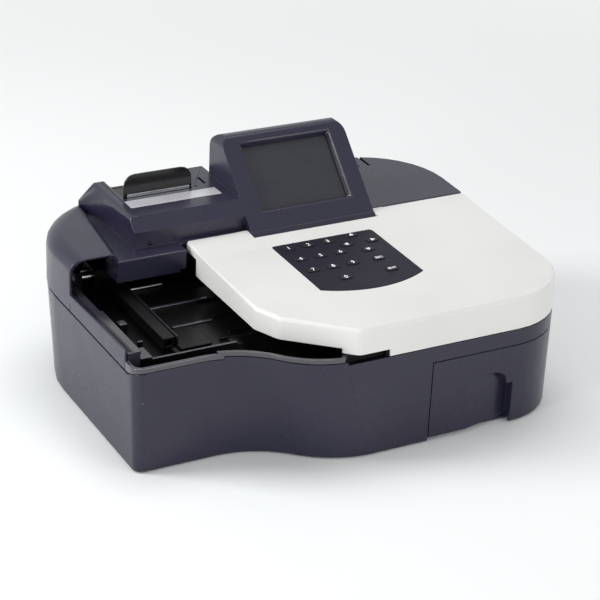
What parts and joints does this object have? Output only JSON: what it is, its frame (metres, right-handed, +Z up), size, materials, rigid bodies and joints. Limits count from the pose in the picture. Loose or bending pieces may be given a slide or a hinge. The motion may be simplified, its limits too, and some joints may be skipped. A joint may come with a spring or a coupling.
{
  "type": "urine analyzer",
  "caption": "Low bench instrument with an open strip tray, a hinged lid that carries a keypad, a raised sloping display, a receipt printer and a waste drawer.",
  "frame": {"origin": "middle of the body in plan, on the bench under the feet", "axes": "+X to the right, +Y to the back, +Z up"},
  "size_m": [0.397, 0.3163, 0.1915],
  "materials": {
    "navy_plastic": "dark navy moulded plastic, fine texture",
    "white_plastic": "warm white moulded plastic, fine texture",
    "black_plastic": "black moulded plastic, half gloss",
    "keypad_film": "dark navy printed film, satin",
    "key_rubber": "dark key cap, satin",
    "smoked_plastic": "smoked black plastic, polished",
    "screen_window": "dark display window, matt",
    "steel": "ground steel",
    "silver_plate": "satin silver plate, left bare",
    "foot_rubber": "matt black rubber",
    "circuit_board": "green circuit board",
    "paper": "plain thermal paper",
    "grey_plastic": "mid grey moulded plastic",
    "metal_case": "folded sheet metal"
  },
  "bodies": {
    "body": {"lower_housing": "navy_plastic", "upper_housing": "navy_plastic", "display_back_cover": "navy_plastic", "foot_front_left": "foot_rubber", "foot_front_right": "foot_rubber", "foot_rear_left": "foot_rubber", "foot_rear_right": "foot_rubber", "display_window": "screen_window", "display_module": "grey_plastic", "hinge_pin_left": "steel", "hinge_pin_right": "steel", "name_strip": "silver_plate", "power_light": "screen_window", "tray_bed": "black_plastic", "tray_surround": "black_plastic", "guide_rod": "steel", "drive_motor": "grey_plastic", "head_rod": "steel", "inner_deck": "black_plastic", "printer_frame": "black_plastic", "print_head": "grey_plastic", "tear_bar": "steel", "main_board": "circuit_board", "power_supply": "metal_case", "power_inlet": "black_plastic", "serial_port": "metal_case", "switch_frame": "black_plastic"},
    "lid": {"lid": "white_plastic", "keypad_panel": "keypad_film", "keypad_board": "circuit_board"},
    "pusher": {"strip_pusher": "black_plastic", "pusher_blade": "steel"},
    "screw": {"drive_screw": "steel"},
    "head": {"measuring_head": "grey_plastic"},
    "drawer": {"waste_drawer": "navy_plastic", "waste_liner": "grey_plastic"},
    "paper_cover": {"paper_cover": "smoked_plastic"},
    "paper_roll": {"paper_roll": "paper"},
    "platen": {"platen_roller": "foot_rubber"},
    "rocker": {"power_switch": "black_plastic"},
    "key_1": {"key_1": "key_rubber"},
    "key_2": {"key_2": "key_rubber"},
    "key_3": {"key_3": "key_rubber"},
    "key_4": {"key_4": "key_rubber"},
    "key_5": {"key_5": "key_rubber"},
    "key_6": {"key_6": "key_rubber"},
    "key_7": {"key_7": "key_rubber"},
    "key_8": {"key_8": "key_rubber"},
    "key_9": {"key_9": "key_rubber"},
    "key_0": {"key_0": "key_rubber"},
    "key_up": {"key_up": "key_rubber"},
    "key_down": {"key_down": "key_rubber"},
    "key_left": {"key_left": "key_rubber"},
    "key_right": {"key_right": "key_rubber"},
    "key_esc": {"key_esc": "key_rubber"},
    "key_ent": {"key_ent": "key_rubber"}
  },
  "joints": [
    {"name": "lid_hinge", "type": "hinge", "parent": "body", "child": "lid", "pos_m": [0, 0.0415, 0.124], "axis": [-1, 0, 0], "range_deg": [0, 75]},
    {"name": "pusher_slide", "type": "slide", "parent": "body", "child": "pusher", "axis": [1, 0, 0], "range_m": [-0.008, 0.088]},
    {"name": "screw_turn", "type": "hinge", "parent": "body", "child": "screw", "pos_m": [-0.1, 0.081, 0.096], "axis": [1, 0, 0], "range_deg": [-180, 1620]},
    {"name": "head_slide", "type": "slide", "parent": "body", "child": "head", "axis": [0, 1, 0], "range_m": [-0.05, 0.026]},
    {"name": "drawer_slide", "type": "slide", "parent": "body", "child": "drawer", "axis": [1, 0, 0], "range_m": [0, 0.115]},
    {"name": "paper_cover_hinge", "type": "hinge", "parent": "body", "child": "paper_cover", "pos_m": [-0.0845, 0.1387, 0.1423], "axis": [-1, 0, 0], "range_deg": [0, 80]},
    {"name": "paper_roll_turn", "type": "hinge", "parent": "body", "child": "paper_roll", "pos_m": [-0.0845, 0.1239, 0.1265], "axis": [1, 0, 0], "continuous": true},
    {"name": "platen_turn", "type": "hinge", "parent": "body", "child": "platen", "pos_m": [-0.0845, 0.0953, 0.139], "axis": [1, 0, 0], "continuous": true},
    {"name": "power_rocker", "type": "hinge", "parent": "body", "child": "rocker", "pos_m": [0.1115, 0.1557, 0.034], "axis": [1, 0, 0], "range_deg": [0, 18]},
    {"name": "key_1_press", "type": "slide", "parent": "lid", "child": "key_1", "axis": [0, 0.0187, -0.9998], "range_m": [0, 0.0008], "stiffness_N_per_m": 400},
    {"name": "key_2_press", "type": "slide", "parent": "lid", "child": "key_2", "axis": [0, 0.0187, -0.9998], "range_m": [0, 0.0008], "stiffness_N_per_m": 400},
    {"name": "key_3_press", "type": "slide", "parent": "lid", "child": "key_3", "axis": [0, 0.0187, -0.9998], "range_m": [0, 0.0008], "stiffness_N_per_m": 400},
    {"name": "key_4_press", "type": "slide", "parent": "lid", "child": "key_4", "axis": [0, 0.0187, -0.9998], "range_m": [0, 0.0008], "stiffness_N_per_m": 400},
    {"name": "key_5_press", "type": "slide", "parent": "lid", "child": "key_5", "axis": [0, 0.0187, -0.9998], "range_m": [0, 0.0008], "stiffness_N_per_m": 400},
    {"name": "key_6_press", "type": "slide", "parent": "lid", "child": "key_6", "axis": [0, 0.0187, -0.9998], "range_m": [0, 0.0008], "stiffness_N_per_m": 400},
    {"name": "key_7_press", "type": "slide", "parent": "lid", "child": "key_7", "axis": [0, 0.0187, -0.9998], "range_m": [0, 0.0008], "stiffness_N_per_m": 400},
    {"name": "key_8_press", "type": "slide", "parent": "lid", "child": "key_8", "axis": [0, 0.0187, -0.9998], "range_m": [0, 0.0008], "stiffness_N_per_m": 400},
    {"name": "key_9_press", "type": "slide", "parent": "lid", "child": "key_9", "axis": [0, 0.0187, -0.9998], "range_m": [0, 0.0008], "stiffness_N_per_m": 400},
    {"name": "key_0_press", "type": "slide", "parent": "lid", "child": "key_0", "axis": [0, 0.0187, -0.9998], "range_m": [0, 0.0008], "stiffness_N_per_m": 400},
    {"name": "key_up_press", "type": "slide", "parent": "lid", "child": "key_up", "axis": [0, 0.0187, -0.9998], "range_m": [0, 0.0008], "stiffness_N_per_m": 400},
    {"name": "key_down_press", "type": "slide", "parent": "lid", "child": "key_down", "axis": [0, 0.0187, -0.9998], "range_m": [0, 0.0008], "stiffness_N_per_m": 400},
    {"name": "key_left_press", "type": "slide", "parent": "lid", "child": "key_left", "axis": [0, 0.0187, -0.9998], "range_m": [0, 0.0008], "stiffness_N_per_m": 400},
    {"name": "key_right_press", "type": "slide", "parent": "lid", "child": "key_right", "axis": [0, 0.0187, -0.9998], "range_m": [0, 0.0008], "stiffness_N_per_m": 400},
    {"name": "key_esc_press", "type": "slide", "parent": "lid", "child": "key_esc", "axis": [0, 0.0187, -0.9998], "range_m": [0, 0.0008], "stiffness_N_per_m": 400},
    {"name": "key_ent_press", "type": "slide", "parent": "lid", "child": "key_ent", "axis": [0, 0.0187, -0.9998], "range_m": [0, 0.0008], "stiffness_N_per_m": 400}
  ],
  "couplings": [
    {"joint": "screw_turn", "follows": "pusher_slide", "rad_per_m": 314.16}
  ]
}
